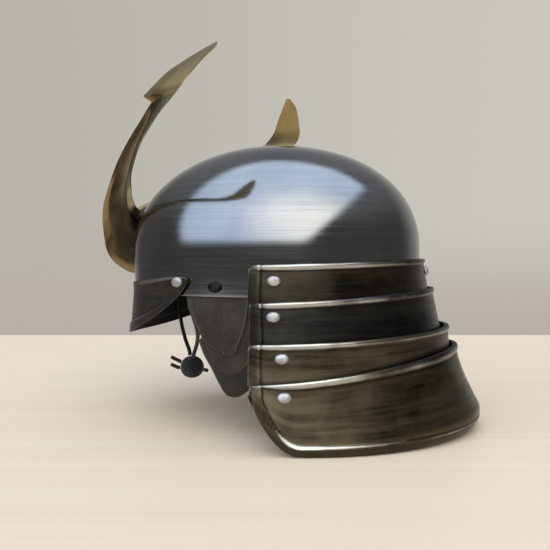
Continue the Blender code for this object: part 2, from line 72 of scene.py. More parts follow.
def grid_mesh(name, points, run, marks, flip=False, parted=None, inner=None):
    """A mesh on a grid of points, with its pattern coordinates and its named marks as attributes.

    Rows run upwards and columns from front to rear on the left side, so that the faces look outwards. A
    parted grid has no faces between that column and the next one. From the inner row on, faces take the
    second look.
    """
    rows, cols = points.shape[:2]
    index = np.arange(rows * cols).reshape(rows, cols)
    quads = np.stack([index[:-1, :-1], index[:-1, 1:], index[1:, 1:], index[1:, :-1]], axis=-1)
    quads = quads[:, np.arange(cols - 1) != parted].reshape(-1, 4)
    mesh = bpy.data.meshes.new(name)
    mesh.from_pydata(points.reshape(-1, 3).tolist(), [], (quads[:, ::-1] if flip else quads).tolist())
    if inner:
        looks = np.repeat(np.arange(rows - 1) >= inner, cols - 1).astype(np.int32)
        mesh.polygons.foreach_set("material_index", looks)
    sweep = mesh.attributes.new("run", "FLOAT_VECTOR", "POINT")
    sweep.data.foreach_set("vector", np.ascontiguousarray(run, dtype=np.float32).ravel())
    for mark, values in marks.items():
        layer = mesh.attributes.new(mark, "FLOAT", "POINT")
        filled = np.broadcast_to(values, (rows, cols)).astype(np.float32)
        layer.data.foreach_set("value", np.ascontiguousarray(filled).ravel())
    skin = bmesh.new()
    skin.from_mesh(mesh)
    bmesh.ops.remove_doubles(skin, verts=skin.verts, dist=0.000002)
    skin.to_mesh(mesh)
    skin.free()
    return mesh


def fit(name, mesh, look, nodes, wall=0.0, centred=False, even=True, edge=0.0, sharp=40, inside=None):
    """Put a mesh on the helmet in place of its solids: give it its wall, its broken edges and its finish.

    A sheet may have another look inside and on its cut edges.
    """
    piece = bpy.data.objects.new(name, mesh)
    bpy.context.scene.collection.objects.link(piece)
    mesh.materials.append(look)
    if inside:
        mesh.materials.append(inside)
    mesh.shade_smooth()
    if wall:
        sheet = piece.modifiers.new("wall", "SOLIDIFY")
        sheet.thickness = wall
        sheet.offset = 0.0 if centred else -1.0
        sheet.use_even_offset = even
        sheet.material_offset = sheet.material_offset_rim = 1 if inside else 0
        sheet.use_quality_normals = True
    if edge:
        broken = piece.modifiers.new("broken edges", "BEVEL")
        broken.width = edge
        broken.segments = 2
        broken.limit_method = "ANGLE"
        broken.angle_limit = math.radians(55)
        leading = piece.modifiers.new("broad faces lead", "WEIGHTED_NORMAL")
        leading.keep_sharp = True
    mesh.set_sharp_from_angle(angle=math.radians(sharp))
    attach(piece, "root")
    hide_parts(*nodes)
    return piece


def node(tree, kind, **inputs):
    """A shader node with the values of some of its inputs."""
    made = tree.nodes.new(kind)
    for key, value in inputs.items():
        made.inputs[key.replace("_", " ")].default_value = value
    return made


def maths(tree, kind, first, second=None, third=None):
    """A Math node on sockets or numbers; returns its value."""
    made = tree.nodes.new("ShaderNodeMath")
    made.operation = kind
    for place, value in enumerate((first, second, third)):
        if value is None:
            continue
        if isinstance(value, (int, float)):
            made.inputs[place].default_value = value
        else:
            tree.links.new(value, made.inputs[place])
    return made.outputs[0]


def blend_colours(tree, share, first, second):
    """A colour mix of sockets or colours by a share; returns the colour."""
    made = tree.nodes.new("ShaderNodeMix")
    made.data_type = "RGBA"
    for place, value in ((0, share), (6, first), (7, second)):
        if isinstance(value, (int, float)):
            made.inputs[place].default_value = value
        elif isinstance(value, tuple):
            made.inputs[place].default_value = (*value, 1.0)
        else:
            tree.links.new(value, made.inputs[place])
    return made.outputs[2]


def spread(tree, value, low, high, to_low=0.0, to_high=1.0):
    """A smooth map of a value from one range to another; returns the value."""
    made = tree.nodes.new("ShaderNodeMapRange")
    made.interpolation_type = "SMOOTHSTEP"
    for place, number in ((1, low), (2, high), (3, to_low), (4, to_high)):
        made.inputs[place].default_value = number
    tree.links.new(value, made.inputs[0])
    return made.outputs[0]


def mark(tree, name, out="Fac"):
    """One of the mesh's marks, or its pattern coordinates."""
    made = tree.nodes.new("ShaderNodeAttribute")
    made.attribute_name = name
    return made.outputs[out]


def noise(tree, vector, scale, detail, rough):
    """A noise pattern on a vector."""
    made = node(tree, "ShaderNodeTexNoise", Scale=scale, Detail=detail, Roughness=rough)
    tree.links.new(vector, made.inputs["Vector"])
    return made.outputs[0]


def shader_group(name, sockets_in, sockets_out):
    """An empty node group with its named sockets; returns the group, its input node and its output node."""
    group = bpy.data.node_groups.new(name, "ShaderNodeTree")
    for label, kind, value in sockets_in:
        socket = group.interface.new_socket(label, in_out="INPUT", socket_type=kind)
        if value is not None:
            socket.default_value = value
    for label, kind in sockets_out:
        group.interface.new_socket(label, in_out="OUTPUT", socket_type=kind)
    return group, group.nodes.new("NodeGroupInput"), group.nodes.new("NodeGroupOutput")


def brush_marks():
    """Strokes of a brush: noise pulled long along the run and kept fine across it, coarse and fine mixed."""
    group, start, end = shader_group(
        "brush marks",
        [("Run", "NodeSocketVector", None), ("Along", "NodeSocketFloat", 12.0),
         ("Across", "NodeSocketFloat", 700.0)],
        [("Strokes", "NodeSocketFloat"), ("Bands", "NodeSocketFloat")])
    pull = node(group, "ShaderNodeCombineXYZ")
    for place, label in ((0, "Along"), (1, "Along"), (2, "Across")):
        group.links.new(start.outputs[label], pull.inputs[place])
    scaled = node(group, "ShaderNodeVectorMath")
    scaled.operation = "MULTIPLY"
    group.links.new(start.outputs["Run"], scaled.inputs[0])
    group.links.new(pull.outputs[0], scaled.inputs[1])
    fine = noise(group, scaled.outputs[0], 1.0, 5.0, 0.7)
    coarse = noise(group, scaled.outputs[0], 0.22, 3.0, 0.6)
    group.links.new(spread(group, fine, 0.32, 0.68), end.inputs["Strokes"])
    group.links.new(spread(group, coarse, 0.34, 0.66), end.inputs["Bands"])
    return group


def stains():
    """Uneven tone of a hand finish: large soft clouds and smaller specks from two noises in place."""
    group, start, end = shader_group(
        "stains",
        [("Place", "NodeSocketVector", None), ("Size", "NodeSocketFloat", 18.0)],
        [("Clouds", "NodeSocketFloat"), ("Specks", "NodeSocketFloat")])
    for label, factor, detail, low, high in (("Clouds", 1.0, 4.0, 0.38, 0.64),
                                             ("Specks", 14.0, 3.0, 0.55, 0.72)):
        size = maths(group, "MULTIPLY", start.outputs["Size"], factor)
        grain = node(group, "ShaderNodeTexNoise", Detail=detail, Roughness=0.6)
        group.links.new(start.outputs["Place"], grain.inputs["Vector"])
        group.links.new(size, grain.inputs["Scale"])
        group.links.new(spread(group, grain.outputs[0], low, high), end.inputs[label])
    return group


BRUSH_MARKS = brush_marks()
STAINS = stains()


def use_group(tree, group, vector, socket, **values):
    """A placed node group whose vector is linked and whose values are set."""
    made = tree.nodes.new("ShaderNodeGroup")
    made.node_tree = group
    tree.links.new(vector, made.inputs[socket])
    for label, value in values.items():
        made.inputs[label].default_value = value
    return made.outputs


def finish_of(name, metallic, roughness):
    """A new material; returns it with its tree, its Principled node and the piece's own coordinates."""
    look = bpy.data.materials.new(name)
    look.use_nodes = True
    tree = look.node_tree
    shader = tree.nodes["Principled BSDF"]
    shader.inputs["Metallic"].default_value = metallic
    shader.inputs["Roughness"].default_value = roughness
    place = tree.nodes.new("ShaderNodeTexCoord").outputs["Object"]
    return look, tree, shader, place


def bump(tree, shader, height, strength, distance):
    """Low relief from a height value."""
    made = node(tree, "ShaderNodeBump", Strength=strength, Distance=distance)
    tree.links.new(height, made.inputs["Height"])
    tree.links.new(made.outputs[0], shader.inputs["Normal"])


def black_polish():
    """The bowl's finish: near-black mirror with level brush strokes, duller and with darker bands near the
    rim.
    """
    look, tree, shader, place = finish_of("polished black steel", 1.0, 0.2)
    strokes = use_group(tree, BRUSH_MARKS, mark(tree, "run", "Vector"), "Run", Along=9.0, Across=520.0)
    cloud = use_group(tree, STAINS, place, "Place", Size=14.0)
    low = mark(tree, "low")
    tone = blend_colours(tree, cloud["Clouds"], (0.22, 0.23, 0.245), (0.28, 0.285, 0.30))
    tone = blend_colours(tree, maths(tree, "MULTIPLY", strokes["Strokes"], 0.40), tone, (0.38, 0.375, 0.36))
    dark = maths(tree, "MULTIPLY", strokes["Bands"], maths(tree, "MULTIPLY_ADD", low, 0.35, 0.10))
    tone = blend_colours(tree, dark, tone, (0.13, 0.13, 0.125))
    tree.links.new(tone, shader.inputs["Base Color"])
    rough = maths(tree, "MULTIPLY_ADD", strokes["Strokes"], 0.07, 0.09)
    rough = maths(tree, "ADD", rough, maths(tree, "MULTIPLY", low, 0.05))
    tree.links.new(rough, shader.inputs["Roughness"])
    bump(tree, shader, strokes["Strokes"], 0.10, 0.00004)
    return look


def raw_inside():
    """The sheets' insides and cut edges: scale from the forge under thin black paint, dull and uneven."""
    look, tree, shader, place = finish_of("unpolished black steel", 0.5, 0.7)
    cloud = use_group(tree, STAINS, place, "Place", Size=22.0)
    tone = blend_colours(tree, cloud["Clouds"], (0.010, 0.010, 0.010), (0.022, 0.020, 0.018))
    tree.links.new(tone, shader.inputs["Base Color"])
    tree.links.new(spread(tree, cloud["Specks"], 0.0, 1.0, 0.62, 0.78), shader.inputs["Roughness"])
    return look


RAW_INSIDE = raw_inside()
turns = np.linspace(0.0, 2.0 * math.pi, 193)[None, :]
rise = np.concatenate([np.linspace(RIM_Z, RIM_Z + SIDE, 18)[:-1],
                       RIM_Z + SIDE + DOME * np.sin(np.linspace(0.0, 0.5 * math.pi, 66))])[:, None]
face = bowl_face(turns, rise)
step = np.linalg.norm(np.diff(face[:, :1], axis=0), axis=-1)
arc = np.concatenate([[[0.0]], np.cumsum(step, axis=0)])
around = np.stack(np.broadcast_arrays(BOWL_RADIUS * np.sin(turns), BOWL_RADIUS * np.cos(turns), arc), axis=-1)
bowl = fit("skull", grid_mesh("skull", face, around, {"low": 1.0 - smooth(RIM_Z, RIM_Z + 0.05, rise)}),
           black_polish(), ["bowl"], wall=BOWL_WALL, edge=BROKEN_EDGE, inside=RAW_INSIDE)

# The brow plate: a strip of the same steel bent round the front under the rim, its lower edge turned out
# to a flat border with a creased line above it. One rivet at each end holds it.
BROW_SPAN, BROW_LAP, BROW_RISE, BROW_DEEP = math.radians(70), 0.0072, 0.0105, 0.036
BROW_END, BROW_FLARE, BROW_BORDER, BROW_WALL, BROW_RADIUS = 0.0105, 0.0029, 0.0012, 0.0011, 0.118


def brow_heights(share):
    """Top and bottom height of the plate at a share of its half span: deep in front, narrow at the ends."""
    deep = BROW_DEEP * (1.0 - np.abs(share) ** 2.6) ** 0.85
    end = BROW_END * (1.0 - np.minimum(1.0, np.abs(share)) ** 14) ** 0.5
    top = RIM_Z + BROW_LAP + BROW_RISE * share ** 2 - 0.5 * (BROW_END - end)
    return top, top - deep - end


def brow_face(share, down):
    """The plate's outer face: the bowl's, carried straight down, leaning out and stepped at the border."""
    top, low = brow_heights(share)
    height = top + (low - top) * down
    out = BROW_WALL + 2.0 * GAP + BROW_FLARE * np.clip((RIM_Z - height) / BROW_DEEP, 0.0, None)
    out = out + BROW_BORDER * smooth(0.78, 0.84, down)
    points = bowl_face(share * BROW_SPAN, np.maximum(height, RIM_Z), out)
    points[..., 2] = height
    return points


def worn_steel(name, tint, streak, bare_and_lit, level):
    """Blackened sheet: near black with brown brushed streaks, rubbed bare in patches where it is worn, the
    same bare tone also standing for painted highlights on the lames' beads and hem, and painted shade near
    black along creases.
    """
    look, tree, shader, place = finish_of(name, 1.0, 0.35)
    run = mark(tree, "run", "Vector")
    strokes = use_group(tree, BRUSH_MARKS, run, "Run", Along=16.0, Across=330.0)
    sweeps = use_group(tree, BRUSH_MARKS, run, "Run", Along=42.0, Across=420.0)
    cloud = use_group(tree, STAINS, place, "Place", Size=20.0)
    tone = blend_colours(tree, cloud["Clouds"], tint, tuple(0.5 * (a + b) for a, b in zip(tint, streak)))
    tone = blend_colours(tree, maths(tree, "MULTIPLY", sweeps["Bands"], 0.80), tone, streak)
    tone = blend_colours(tree, maths(tree, "MULTIPLY", strokes["Strokes"], 0.30), tone, streak)
    handled = spread(tree, noise(tree, place, 26.0, 3.0, 0.6), 0.36, 0.62, 0.50, 1.0)
    patch = maths(tree, "MULTIPLY_ADD", sweeps["Bands"], 0.20, handled)
    # Where the worn mark is high the sheet turns to the bare tone: rubbed bare steel, and on the lames also
    # painted highlight.
    rubbed_and_lit = maths(tree, "MULTIPLY", mark(tree, "wear_and_highlight"), patch)
    rubbed_and_lit = maths(tree, "MULTIPLY_ADD", strokes["Bands"], 0.10, rubbed_and_lit)
    tone = blend_colours(tree, spread(tree, rubbed_and_lit, level, level + 0.55), tone, bare_and_lit)
    scuffs = noise(tree, run, 900.0, 2.0, 0.5)
    scuffs = maths(tree, "MULTIPLY", mark(tree, "scuffed"), spread(tree, scuffs, 0.50, 0.62))
    tone = blend_colours(tree, scuffs, tone, (0.26, 0.20, 0.11))
    # Painted shade: creases are painted near black.
    tone = blend_colours(tree, mark(tree, "crease_shade"), tone, (0.006, 0.005, 0.004))
    tree.links.new(tone, shader.inputs["Base Color"])
    rough = maths(tree, "MULTIPLY_ADD", strokes["Strokes"], 0.12, 0.25)
    tree.links.new(maths(tree, "MULTIPLY_ADD", cloud["Clouds"], 0.10, rough), shader.inputs["Roughness"])
    relief = maths(tree, "MULTIPLY_ADD", cloud["Specks"], 0.5, strokes["Strokes"])
    bump(tree, shader, relief, 0.14, 0.00006)
    return look


share = np.concatenate([np.linspace(-0.998, -0.9, 18)[:-1], np.linspace(-0.9, 0.9, 121)[:-1],
                        np.linspace(0.9, 0.998, 18)])[None, :]
down = np.linspace(1.0, 0.0, 49)[:, None]
plate = brow_face(share, down)
length = np.broadcast_to(share * BROW_SPAN * BROW_RADIUS, plate.shape[:2])
run = np.stack([length, length * 0.0, np.broadcast_to(plate[..., 2], length.shape)], axis=-1)
wear_and_highlight = 0.75 * smooth(0.84, 0.80, down) * smooth(0.76, 0.80, down) + 0.55 * smooth(0.96, 1.0, down)
wear_and_highlight = wear_and_highlight + 0.9 * np.exp(-((down - 0.05) / 0.05) ** 2) * smooth(0.35, 0.75, np.abs(share))
# Painted shade: a near-black line in the crease above the border.
crease_shade = 0.8 * smooth(0.745, 0.765, down) * smooth(0.79, 0.77, down)
brow_steel = worn_steel("blackened brow steel", (0.05, 0.05, 0.047), (0.11, 0.10, 0.08),
                        (0.32, 0.31, 0.29), 0.20)
brow = fit("brow", grid_mesh("brow", plate, run, {"wear_and_highlight": wear_and_highlight, "crease_shade": crease_shade, "scuffed": 0.0}),
           brow_steel, ["brow_plate"], wall=BROW_WALL, edge=BROKEN_EDGE, inside=RAW_INSIDE)

# The neck guard: four lames of the same sheet, each wider than the one above and lapped over its outside,
# with a rolled bead along its top and a folded border down its front. The last one is hemmed at the bottom.
LAME_WALL, LAME_BEAD, LAME_BORDER, LAME_LIP, HEM = 0.0024, 0.0045, 0.0095, 0.0016, 0.0078
CORNER_BACK, CORNER_HIGH, TUCK, STAND = 0.042, 0.045, 0.014, 0.0008
UNDER, UNDER_FROM, LAME_RADIUS = 0.014, 0.75, 0.125
LAME_LENGTH = HALF_LENGTH + MIDDLE_Y
LAMES = {
    1: (1.001, 1.0015, 1.028, 1.056, 1.221, 0.036, 0.821, 0.071, 0.049, 0.043),
    2: (1.034, 1.040, 1.057, 1.117, 0.967, 0.071, 0.554, 0.071, 0.011, 0.063),
    3: (1.058, 1.122, 1.078, 1.154, 0.699, 0.054, 0.313, 0.098, 0.031, 0.067),
    4: (1.0905, 1.156, 1.168, 1.375, 0.439, 0.174, 0.000, 0.035, 0.011, 0.088),
}


def lame_sizes(level):
    """A lame's sizes in metres: half widths and lengths, heights, chamfer and front edge."""
    row = LAMES[level]
    reach = level * (LAME_WALL + GAP)
    plan = [part * size + reach for part, size in zip(row[:4], 2 * (HALF_WIDTH, LAME_LENGTH))]
    return plan + [part * RIM_Z for part in row[4:9]] + [row[9] * LAME_LENGTH]


def lame_bottom(row, y):
    """Bottom height of a lame: it rises by the square towards the rear, and the last has a round corner."""
    height = row[6] + row[7] * np.clip((y - 0.7 * LAME_LENGTH) / (row[3] - 0.7 * LAME_LENGTH), 0.0, None) ** 2
    if row[6] > 0.0:
        return height + TUCK * np.clip(1.0 - (y - row[9]) / TUCK, 0.0, None)
    corner = np.clip(1.0 - (y - row[9]) / CORNER_BACK, 0.0, 1.0)
    return height + STAND + CORNER_HIGH * corner ** 2.6 * (1.45 - 0.45 * corner)


def lame_face(row, theta, down, out=0.0):
    """A lame's outer face: an ellipse from side to rear that grows from its top edge to its bottom one."""
    flare = down ** 1.4 if row[6] == 0.0 else down
    half = row[0] + (row[2] - row[0]) * flare
    long = row[1] + (row[3] - row[1]) * flare
    if row[6] == 0.0:
        long = long - UNDER * np.clip((down - UNDER_FROM) / (1.0 - UNDER_FROM), 0.0, None) ** 2
    y = long * np.sin(theta)
    top = row[4] + row[5] * np.clip(np.sin(theta), 0.0, None) ** 1.5
    corner = np.clip(1.0 - (y - row[9]) / row[8], 0.0, 1.0)
    top = top - row[8] * (1.0 - np.sqrt(1.0 - corner ** 2))
    height = top + (lame_bottom(row, y) - top) * down
    across, along = np.cos(theta) / half, np.sin(theta) / long
    size = np.hypot(across, along)
    parts = (half * np.cos(theta) + across / size * out, y + along / size * out, height)
    return np.stack(np.broadcast_arrays(*parts), axis=-1)


def lame_piece(level, look):
    """One lame over its whole sweep, with its bead, border and hem as steps of the outer face."""
    row = lame_sizes(level)
    last = row[6] == 0.0
    start = math.asin(row[9] / row[1])
    near = np.concatenate([np.linspace(0.0, LAME_BORDER * 1.15, 20), np.linspace(0.0125, 0.040, 16)]) / row[1]
    thetas = start + np.concatenate([near, np.linspace(near[-1], 0.5 * math.pi - start, 60)[1:]])
    along = np.concatenate([thetas, (math.pi - thetas[:-1])[::-1]])[None, :]
    depth = row[4] - row[6]
    top_band = np.linspace(0.0, 1.25 * LAME_BEAD, 14) / depth
    low_band = 1.0 - np.linspace(0.0, 1.8 * HEM, 22 if last else 6)[::-1] / depth
    drop = np.concatenate([top_band, np.linspace(top_band[-1], low_band[0], 34)[1:-1], low_band])[::-1, None]
    plain = lame_face(row, along, drop)
    bead = np.clip((drop * depth / LAME_BEAD - 0.35) / 0.65, -1.0, 1.0)
    from_front = np.minimum(along - start, math.pi - start - along) * row[1]
    fade = smooth(0.0, LAME_BORDER if last else LAME_BEAD, from_front)
    lip = LAME_LIP * np.cos(0.5 * math.pi * bead) * (fade if last else 0.35 + 0.65 * fade)
    near_front = np.clip(1.0 - from_front / LAME_BORDER, 0.0, 1.0)
    lower = lame_bottom(row, plain[..., 1])
    slope = (lame_bottom(row, plain[..., 1] + 0.0005) - lame_bottom(row, plain[..., 1] - 0.0005)) / 0.001
    inward = (plain[..., 2] - lower) / np.sqrt(1.0 + slope ** 2)
    near_low = np.clip(1.0 - inward / HEM, 0.0, 1.0) if last else 0.0 * inward
    fold = (near_front ** 3 + near_low ** 3) ** (1.0 / 3.0)
    pipe = 0.9 * LAME_LIP * np.sqrt(np.clip(1.0 - ((fold - 0.52) / 0.52) ** 2, 0.0, 1.0))
    raised = np.maximum(lip, pipe)
    points = lame_face(row, along, drop, raised)
    length = np.broadcast_to(along * LAME_RADIUS, points.shape[:2])
    run = np.stack([length, length * 0.0 + level, -np.broadcast_to(drop, length.shape) * depth], axis=-1)
    # The beads, the front edge, the border fold and the hem are lightened to bare steel: partly wear, partly
    # painted highlight, brightest near y = 48 mm.
    wear_and_highlight = 1.25 * np.exp(-((drop * depth - 0.48 * LAME_BEAD) / (0.46 * LAME_BEAD)) ** 4)
    highlight_window = 0.30 + 0.70 * np.exp(-((plain[..., 1] - 0.048) / 0.036) ** 2)
    wear_and_highlight = wear_and_highlight * highlight_window * (0.45 + 0.55 * smooth(0.0, 2.0 * LAME_BORDER, from_front))
    wear_and_highlight = wear_and_highlight + 0.40 * np.exp(-((fold - 0.14) / 0.08) ** 2) + 0.60 * np.exp(-(from_front / 0.0010) ** 2)
    # The hem's lower edge is lightened as painted highlight, with some wear.
    hem_wear_and_highlight = 0.9 * np.exp(-((near_low - 0.20) / 0.15) ** 2) * highlight_window
    wear_and_highlight = wear_and_highlight + hem_wear_and_highlight * smooth(0.014, 0.026, from_front) * last
    low_corner = np.exp(-((from_front - 0.006) / 0.008) ** 2)
    scuffed = low_corner * (smooth(0.6, 0.95, drop) if level == 3 else smooth(0.30, 0.05, drop) * last)
    # Painted shade: near-black lines at the foot of the bead, inside the front border and inside the fold.
    foot = np.exp(-((drop * depth - 1.12 * LAME_BEAD) / (0.16 * LAME_BEAD)) ** 2)
    foot = foot + np.exp(-((from_front - LAME_BORDER - 0.0006) / 0.0007) ** 2) * (1.0 - near_low)
    foot = foot + 0.85 * smooth(0.20, 0.42, fold) * smooth(1.6 * LAME_BEAD, 1.9 * LAME_BEAD, drop * depth)
    inner = lame_face(row, along, drop, -LAME_WALL)
    middle = 0.5 * (points + inner)

    def closed(outside, inside, ends):
        """Outside rows, inside rows back down and the first row again, pinched shut at both ends."""
        loop = np.concatenate([outside, inside[::-1], outside[:1]])
        pinch = np.concatenate([ends, ends[::-1], ends[:1]])
        return np.concatenate([pinch[:, :1], loop, pinch[:, -1:]], axis=1)

    marks = {"wear_and_highlight": wear_and_highlight, "crease_shade": np.clip(0.55 * foot, 0.0, 0.7), "scuffed": scuffed}
    marks = {key: closed(value, 0.0 * value, value) for key, value in marks.items()}
    mesh = grid_mesh(f"lame {level}", closed(points, inner, middle), closed(run, run, run), marks,
                     inner=len(points) - 1)
    piece = fit(f"lame_{level}", mesh, look, [f"neck_lame_{level}"], edge=0.0004, inside=RAW_INSIDE)


# This bare tone serves both rubbed steel and the painted highlights on the lames.
BARE_AND_LIT_STEEL = (0.46, 0.45, 0.42)
lame_piece(1, worn_steel("first lame steel", (0.016, 0.016, 0.013), (0.070, 0.059, 0.040), BARE_AND_LIT_STEEL, 0.30))
lame_piece(2, worn_steel("second lame steel", (0.012, 0.013, 0.015), (0.060, 0.056, 0.048), BARE_AND_LIT_STEEL, 0.30))
lame_piece(3, worn_steel("third lame steel", (0.034, 0.029, 0.020), (0.165, 0.135, 0.090), BARE_AND_LIT_STEEL, 0.26))
lame_piece(4, worn_steel("last lame steel", (0.018, 0.016, 0.011), (0.120, 0.098, 0.064), BARE_AND_LIT_STEEL, 0.26))

# The crest: one brass sheet in two horns that share a keel in front of the bowl, each dished between a
# bent outer strip and a creased inner flange, with a barb where the dish runs out into a flat blade.
CREST_SPAN, CREST_REACH, CREST_RISE, CREST_WALL = 0.1475, 0.1715, 0.1765, 0.0010
CREST_LIFT, CREST_TURN = 0.017, math.radians(-3.6)
HORN = np.array((
    ((0.00, 0.7485, 0.000), (0.02, 0.756, 0.263), (0.03, 0.734, 0.317)),
    ((0.00, 0.841, 0.008), (0.05, 0.766, 0.280), (0.07, 0.722, 0.314)),
    ((0.00, 0.936, 0.060), (0.11, 0.765, 0.306), (0.14, 0.716, 0.329)),
    ((0.00, 0.984, 0.145), (0.16, 0.756, 0.328), (0.19, 0.705, 0.344)),
    ((0.07, 0.965, 0.260), (0.21, 0.740, 0.358), (0.25, 0.690, 0.372)),
    ((0.17, 0.909, 0.330), (0.31, 0.694, 0.408), (0.35, 0.648, 0.406)),
    ((0.27, 0.839, 0.386), (0.40, 0.647, 0.453), (0.45, 0.601, 0.448)),
    ((0.40, 0.738, 0.453), (0.50, 0.584, 0.490), (0.55, 0.543, 0.487)),
    ((0.53, 0.628, 0.528), (0.64, 0.486, 0.551), (0.71, 0.430, 0.560)),
    ((0.67, 0.496, 0.604), (0.76, 0.379, 0.624), (0.83, 0.318, 0.624)),
    ((0.80, 0.365, 0.671), (0.858, 0.287, 0.680), (0.900, 0.238, 0.672)),
    ((0.856, 0.293, 0.722), (0.900, 0.228, 0.720), (0.930, 0.174, 0.716)),
    ((0.868, 0.327, 0.746), (0.912, 0.207, 0.741), (0.945, 0.136, 0.745)),
    ((0.882, 0.284, 0.772), (0.921, 0.179, 0.776), (0.955, 0.100, 0.778)),
    ((0.862, 0.223, 0.832), (0.896, 0.140, 0.830), (0.930, 0.068, 0.828)),
    ((0.795, 0.179, 0.887), (0.822, 0.112, 0.888), (0.845, 0.052, 0.893)),
    ((0.712, 0.124, 0.950), (0.727, 0.082, 0.953), (0.742, 0.044, 0.955)),
    ((0.640, 0.077, 1.000), (0.648, 0.069, 0.999), (0.656, 0.062, 0.997)),
))
STEPS, KEEL_ROWS, BLADE_FROM = 8, 3, 11.0
STRIP_END, DISH_END = 0.30, 0.80


def through(rows, sharp):
    """A curve through the rows, straight after each sharp one.

    Between b and c, with a before and d after, it is (2b + (c-a)t + (2a-5b+4c-d)t2 + (3b-a-3c+d)t3) / 2.
    """
    before = np.concatenate([rows[:1], rows[:-2]])
    after = np.concatenate([rows[2:], rows[-1:]])
    start, end = rows[:-1], rows[1:]
    t = (np.arange(STEPS) / STEPS)[None, :, None]
    a, b, c, d = before[:, None], start[:, None], end[:, None], after[:, None]
    curve = 0.5 * (2 * b + (c - a) * t + (2 * a - 5 * b + 4 * c - d) * t ** 2
                   + (3 * b - a - 3 * c + d) * t ** 3)
    line = b + (c - b) * t
    straight = np.isin(np.arange(len(rows) - 1), sharp)[:, None, None]
    curve = np.where(straight, line, curve)
    return np.concatenate([curve.reshape(-1, rows.shape[-1]), rows[-1:]])


outer = through(HORN[:, 0], (10, 11, 12))
crease = through(HORN[:, 1], ())
inner = through(HORN[:, 2], ())
outer[: KEEL_ROWS * STEPS + 1, 0] = 0.0
place_up = np.linspace(0.0, len(HORN) - 1.0, len(outer))
dish = (np.clip((BLADE_FROM - place_up) / 3.0, 0.0, 1.0) * np.clip(0.4 + 0.2 * place_up, 0.0, 1.0))[:, None]
strip = outer + 0.30 * (crease - outer) + np.array((0.012, 0.0, 0.0)) * dish
valley = outer + 0.66 * (crease - outer) + np.array((-0.020, -0.010, 0.004)) * dish
across = np.concatenate([np.linspace(0.0, STRIP_END, 7)[:-1], np.linspace(STRIP_END, DISH_END, 17)[:-1],
                         np.linspace(DISH_END, 1.0, 6)])
part = np.clip((across - STRIP_END) / (DISH_END - STRIP_END), 0.0, 1.0)[None, :, None]
lead = np.clip(across / STRIP_END, 0.0, 1.0)[None, :, None]
trail = np.clip((across - DISH_END) / (1.0 - DISH_END), 0.0, 1.0)[None, :, None]
middle = 2.0 * valley - 0.5 * (strip + crease)
dished = ((1 - part) ** 2 * strip[:, None] + 2 * part * (1 - part) * middle[:, None]
          + part ** 2 * crease[:, None])
horn = np.where(lead < 1.0, outer[:, None] + (strip - outer)[:, None] * lead, dished)
horn = np.where(trail > 0.0, crease[:, None] + (inner - crease)[:, None] * trail, horn)
foot = bowl_face(np.array(0.0), np.array(RIM_Z + CREST_LIFT), 0.5 * CREST_WALL + GAP)
local = np.stack([horn[..., 0] * CREST_SPAN, (HORN[0, 0, 1] - horn[..., 1]) * CREST_REACH,
                  horn[..., 2] * CREST_RISE], axis=-1)
both = np.concatenate([(local * (-1.0, 1.0, 1.0))[:, ::-1], local], axis=1)


def antique_brass(name, low, high):
    """Brass left to tarnish: bronze on the strip, brown in the dish, a black crease that is painted shade,
    light on the flange, and the dish painted near black as shade low on the horns and by the keel.
    """
    look, tree, shader, place = finish_of(name, 1.0, 0.35)
    strokes = use_group(tree, BRUSH_MARKS, mark(tree, "run", "Vector"), "Run", Along=10.0, Across=100.0)
    cloud = use_group(tree, STAINS, place, "Place", Size=26.0)
    ramp = tree.nodes.new("ShaderNodeValToRGB")
    # The stops from 0.735 to 0.785 paint the crease black: painted shade.
    stops = ((0.0, (0.26, 0.19, 0.10)), (0.25, (0.23, 0.145, 0.055)), (0.33, (0.075, 0.055, 0.030)),
             (0.55, (0.175, 0.155, 0.110)), (0.69, (0.085, 0.075, 0.050)), (0.735, (0.006, 0.005, 0.004)),
             (0.785, (0.006, 0.005, 0.004)), (0.815, (0.24, 0.21, 0.15)), (1.0, (0.42, 0.39, 0.29)))
    ramp.color_ramp.elements.remove(ramp.color_ramp.elements[0])
    for place_on, (value, colour) in enumerate(stops):
        stop = ramp.color_ramp.elements[0] if place_on == 0 else ramp.color_ramp.elements.new(value)
        stop.position = value
        stop.color = (*colour, 1.0)
    tree.links.new(mark(tree, "across"), ramp.inputs[0])
    # Painted shade: the root mark blends the channel to near black.
    channel = blend_colours(tree, mark(tree, "root"), ramp.outputs[0], (0.008, 0.008, 0.006))
    blade = blend_colours(tree, cloud["Clouds"], low, high)
    blade = blend_colours(tree, maths(tree, "MULTIPLY", mark(tree, "band"), 0.7), blade, (0.14, 0.095, 0.045))
    tone = blend_colours(tree, mark(tree, "blade"), channel, blade)
    tone = blend_colours(tree, maths(tree, "MULTIPLY", strokes["Strokes"], 0.12), tone, (0.50, 0.42, 0.24))
    tree.links.new(tone, shader.inputs["Base Color"])
    rough = maths(tree, "MULTIPLY_ADD", strokes["Strokes"], 0.06, 0.30)
    tree.links.new(maths(tree, "MULTIPLY_ADD", cloud["Clouds"], 0.08, rough), shader.inputs["Roughness"])
    bump(tree, shader, strokes["Bands"], 0.05, 0.00003)
    return look


cosine, sine = math.cos(CREST_TURN), math.sin(CREST_TURN)
turned = np.stack([both[..., 0] * cosine - both[..., 1] * sine, both[..., 0] * sine + both[..., 1] * cosine,
                   both[..., 2]], axis=-1) + foot
sideways = np.concatenate([across[::-1], across])[None, :]
climb = place_up[:, None]
step = np.linalg.norm(np.diff(valley * CREST_SPAN, axis=0), axis=-1)
reach = np.concatenate([[0.0], np.cumsum(step)])[:, None]
run = np.stack(np.broadcast_arrays(reach, 0.0 * sideways, sideways * 0.03), axis=-1)
